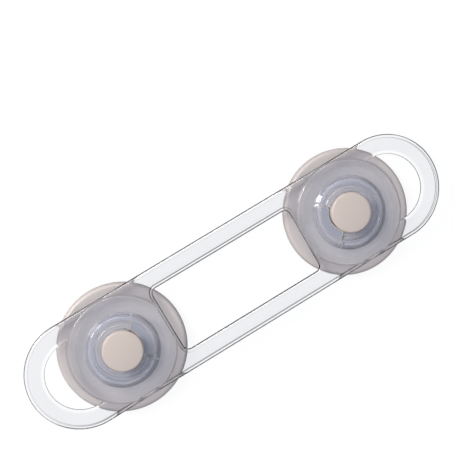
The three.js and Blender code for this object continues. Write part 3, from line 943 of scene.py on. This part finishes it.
def platform_mesh(side):
    inside = (STRAP_BOTTOM + RAIL_TOP) / 2
    bm = turned([
        (FLOOR_HOLE_RADIUS, STRAP_BOTTOM + OVERLAP, 0.1 * MM),
        (PLATFORM_FOOT_RADIUS, STRAP_BOTTOM + OVERLAP),
        (PLATFORM_FOOT_RADIUS, inside),
        (PLATFORM_RADIUS + OVERLAP, inside),
        (PLATFORM_RADIUS + OVERLAP, RAIL_TOP - OVERLAP),
        (PLATFORM_RADIUS - PLATFORM_RAMP, PLATFORM_TOP, 0.25 * MM),
        (POCKET_RADIUS, PLATFORM_TOP, 0.1 * MM),
        (POCKET_RADIUS, POCKET_FLOOR, 0.15 * MM),
        (FLOOR_HOLE_RADIUS, POCKET_FLOOR, 0.1 * MM),
    ])
    between_cuts = Matrix.Rotation(PLATFORM_TWIST, 3, "Z")
    bmesh.ops.rotate(bm, verts=bm.verts[:], cent=(0, 0, 0), matrix=between_cuts)
    everything = bm.verts[:] + bm.edges[:] + bm.faces[:]
    bmesh.ops.bisect_plane(
        bm, geom=everything, plane_co=(PLATFORM_SETBACK - CHORD_OFFSET, 0, 0), plane_no=(-1, 0, 0),
        clear_outer=True,
    )
    bmesh.ops.holes_fill(bm, edges=[edge for edge in bm.edges if edge.is_boundary])
    bmesh.ops.recalc_face_normals(bm, faces=bm.faces[:])
    to_end(bm, side)
    return bm


def pegs_mesh(side):
    bm = bmesh.new()
    height = RING_FLANGE_TOP - PEG_FOOT
    for turn in (-1, 1):
        peg = bmesh.ops.create_cone(
            bm, cap_ends=True, segments=PEG_SIDES, radius1=PEG_RADIUS, radius2=PEG_RADIUS, depth=height,
        )["verts"]
        place = (
            -PEG_CIRCLE * math.cos(PEG_ANGLE),
            turn * PEG_CIRCLE * math.sin(PEG_ANGLE),
            (RING_FLANGE_TOP + PEG_FOOT) / 2,
        )
        bmesh.ops.translate(bm, verts=peg, vec=place)
    to_end(bm, side)
    return bm


def tongue_mesh(side):
    bm = bmesh.new()
    low = STRAP_BOTTOM + 2 * OVERLAP
    high = ring_high.z - TONGUE_DROP
    root = (FLOOR_HOLE_RADIUS + POCKET_RADIUS) / 2
    draw_profile(bm, [
        (TONGUE_TIP_RADIUS, low, 0.1 * MM),
        (root, low),
        (root, high),
        (TONGUE_TIP_RADIUS, high, 0.1 * MM),
    ], closed=True)
    spin_all(bm, 2 * TONGUE_HALF_ANGLE, TONGUE_STEPS)
    start = Matrix.Rotation(math.pi - TONGUE_HALF_ANGLE, 3, "Z")
    bmesh.ops.rotate(bm, verts=bm.verts[:], cent=(0, 0, 0), matrix=start)
    bmesh.ops.holes_fill(bm, edges=[edge for edge in bm.edges if edge.is_boundary])
    bmesh.ops.recalc_face_normals(bm, faces=bm.faces[:])
    to_end(bm, side)
    return bm


# %% Joining the strap
strap = new_object(band_mesh(), "clear_strap", strap_clear, rim_clear)
for end, side in ENDS.items():
    combine(strap, new_object(platform_mesh(side), f"platform_{end}", platform_clear), "UNION")
    combine(strap, new_object(pegs_mesh(side), f"pegs_{end}", platform_clear), "UNION")
    combine(strap, new_object(tongue_mesh(side), f"tongue_{end}", tongue_clear), "UNION")
dress(strap, "strap", "strap")
test = bmesh.new()
test.from_mesh(strap.data)
print("strap open edges:", sum(1 for edge in test.edges if not edge.is_manifold))
print("strap materials:", [material.name for material in strap.data.materials])
test.free()

# %% [markdown]
# ## Foam pads
# A die-cut disc of foam tape fills the underside of each disc. Its cut edge is a little rounded.

# %% Foam pads
PAD_RADIUS = (pad_high.x - pad_low.x) / 2

for end, side in ENDS.items():
    bm = turned([
        (0, pad_low.z),
        (PAD_RADIUS, pad_low.z, 0.15 * MM),
        (PAD_RADIUS, pad_high.z, 0.15 * MM),
        (0, pad_high.z),
    ], closed=False)
    to_end(bm, side)
    pad = new_object(bm, f"foam_pad_{end}", tape_foam)
    dress(pad, f"adhesive_pad_{end}", f"base_{end}")

# %% [markdown]
# ## Return springs and screws
# One steel wire is wound round the stem. A small circle of wire is spun about the stem while it climbs,
# which is what the spin's drift is for. The screws keep their solids, in steel.

# %% Return springs
SPRING_RADIUS = 3.025 * MM
SPRING_WIRE = 0.45 * MM
SPRING_TURNS = 3
SPRING_STEPS = 40
SPRING_SIDES = 12


def spring_mesh(low, high):
    bm = bmesh.new()
    bmesh.ops.create_circle(bm, cap_ends=False, segments=SPRING_SIDES, radius=SPRING_WIRE / 2)
    bmesh.ops.rotate(bm, verts=bm.verts[:], cent=(0, 0, 0), matrix=Matrix.Rotation(math.pi / 2, 3, "X"))
    bmesh.ops.translate(bm, verts=bm.verts[:], vec=(SPRING_RADIUS, 0, low + SPRING_WIRE / 2))
    steps = SPRING_STEPS * SPRING_TURNS
    climb = (high - low - SPRING_WIRE) / steps
    bmesh.ops.spin(
        bm, geom=bm.edges[:], cent=(0, 0, 0), axis=(0, 0, 1), dvec=(0, 0, climb),
        angle=2 * math.pi * SPRING_TURNS, steps=steps,
    )
    bmesh.ops.holes_fill(bm, edges=[edge for edge in bm.edges if edge.is_boundary])
    bmesh.ops.recalc_face_normals(bm, faces=bm.faces[:])
    return bm


for end, side in ENDS.items():
    low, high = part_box(f"return_spring_{end}")
    bm = spring_mesh(low.z, high.z)
    to_end(bm, side)
    spring = new_object(bm, f"spring_{end}", bright_steel)
    dress(spring, f"return_spring_{end}", f"hub_{end}")
    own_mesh(spring)
    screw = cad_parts[f"button_screw_{end}"]
    screw.data.materials.clear()
    screw.data.materials.append(bright_steel)

# %% [markdown]
# ## Floor and light
# Clear things are photographed on a bright field: only the sheet behind them is white, and the room round
# it is dark, which draws their edges as dark lines. A floor wide enough for every view can't be a small
# sheet, so its brightness depends on the ray. Seen straight or through two faces it is white; mirrored, or
# found after more bends inside the plastic, it is as dark as the room. Light that it throws on the latch is
# that of a grey sheet.

# %% Floor
FLOOR_HALF_SIZE = 1.5
FLOOR_COLOUR = (0.50, 0.50, 0.50, 1)
FLOOR_GLOW = 0.75
GLOW_STRENGTH = 1.2
ROOM_COLOUR = (0.08, 0.08, 0.09, 1)
STRAIGHT_BENDS = 2.5


def floor_math(nodes, operation, first, second):
    made = nodes.new("ShaderNodeMath")
    made.operation = operation
    for entry, value in zip(made.inputs, (first, second)):
        if isinstance(value, bpy.types.NodeSocket):
            made.id_data.links.new(value, entry)
        else:
            entry.default_value = value
    return made.outputs["Value"]


def floor_material():
    material = bpy.data.materials.new("pale_floor")
    material.use_nodes = True
    nodes, links = material.node_tree.nodes, material.node_tree.links
    nodes.clear()
    output = nodes.new("ShaderNodeOutputMaterial")
    matt = nodes.new("ShaderNodeBsdfDiffuse")
    matt.inputs["Color"].default_value = FLOOR_COLOUR
    glow = nodes.new("ShaderNodeEmission")
    glow.inputs["Strength"].default_value = GLOW_STRENGTH
    room = nodes.new("ShaderNodeEmission")
    room.inputs["Color"].default_value = ROOM_COLOUR
    ray = nodes.new("ShaderNodeLightPath").outputs
    seen = floor_math(nodes, "MAXIMUM", ray["Is Camera Ray"], ray["Is Transmission Ray"])
    share = floor_math(nodes, "MULTIPLY", seen, FLOOR_GLOW)
    bent = floor_math(nodes, "GREATER_THAN", ray["Ray Depth"], STRAIGHT_BENDS)
    strayed = floor_math(nodes, "MAXIMUM", bent, ray["Is Reflection Ray"])
    mirrored = floor_math(nodes, "GREATER_THAN", strayed, ray["Is Diffuse Ray"])
    sheet = nodes.new("ShaderNodeMixShader")
    choice = nodes.new("ShaderNodeMixShader")
    links.new(share, sheet.inputs["Fac"])
    links.new(matt.outputs["BSDF"], sheet.inputs[1])
    links.new(glow.outputs["Emission"], sheet.inputs[2])
    links.new(mirrored, choice.inputs["Fac"])
    links.new(sheet.outputs["Shader"], choice.inputs[1])
    links.new(room.outputs["Emission"], choice.inputs[2])
    links.new(choice.outputs["Shader"], output.inputs["Surface"])
    return material


bm = bmesh.new()
bmesh.ops.create_grid(bm, x_segments=1, y_segments=1, size=FLOOR_HALF_SIZE)
floor = new_object(bm, "floor", floor_material())

# %% [markdown]
# One large softbox lights the latch from the upper left of the picture. A card below it and a long strip
# beside it only show as bright strokes on the rounded clear edges, so they give no light to matt surfaces.
# The sky is pale and cool overhead and dark at the horizon.

# %% Lamps and world
KEY_DISTANCE = 1.2
KEY_SIZE = 0.48
KEY_WATTS = 10.6
KEY_COLOUR = (1.0, 0.965, 0.93)
CARD_DIRECTION = Vector((-0.55, 0.80, 0.36)).normalized()
CARD_SIZE = 0.5
CARD_WATTS = 2.0
STRIP_DIRECTION = Vector((0.0, 0.75, 0.66)).normalized()
STRIP_LENGTH = 0.9
STRIP_WIDTH = 0.25
STRIP_WATTS = 6.5
SKY_COLOUR = (0.68, 0.71, 0.80, 1)
HORIZON_COLOUR = (0.05, 0.05, 0.06, 1)
HORIZON_LEVEL, SKY_LEVEL = 0.15, 0.85


def softbox(name, direction, distance, size, watts):
    data = bpy.data.lights.new(name, "AREA")
    data.shape = "SQUARE"
    data.size = size
    data.energy = watts
    data.color = KEY_COLOUR
    lamp = bpy.data.objects.new(name, data)
    lamp.location = direction * distance
    lamp.visible_transmission = False
    lamp.rotation_mode = "QUATERNION"
    lamp.rotation_quaternion = direction.to_track_quat("Z", "Y")
    bpy.context.scene.collection.objects.link(lamp)
    return lamp


softbox("key_softbox", KEY_DIRECTION, KEY_DISTANCE, KEY_SIZE, KEY_WATTS)
card = softbox("low_card", CARD_DIRECTION, KEY_DISTANCE, CARD_SIZE, CARD_WATTS)
strip = softbox("side_strip", STRIP_DIRECTION, KEY_DISTANCE, STRIP_LENGTH, STRIP_WATTS)
strip.data.shape = "RECTANGLE"
strip.data.size_y = STRIP_WIDTH
for lamp in (card, strip):
    lamp.visible_diffuse = False


def studio_world():
    world = bpy.data.worlds.new("studio")
    world.use_nodes = True
    nodes, links = world.node_tree.nodes, world.node_tree.links
    background = nodes["Background"]
    direction = nodes.new("ShaderNodeTexCoord")
    parts = nodes.new("ShaderNodeSeparateXYZ")
    ramp = nodes.new("ShaderNodeValToRGB")
    ramp.color_ramp.elements[0].color = HORIZON_COLOUR
    ramp.color_ramp.elements[0].position = HORIZON_LEVEL
    ramp.color_ramp.elements[1].color = SKY_COLOUR
    ramp.color_ramp.elements[1].position = SKY_LEVEL
    links.new(direction.outputs["Generated"], parts.inputs["Vector"])
    links.new(parts.outputs["Z"], ramp.inputs["Fac"])
    links.new(ramp.outputs["Color"], background.inputs["Color"])
    return world


bpy.context.scene.world = studio_world()
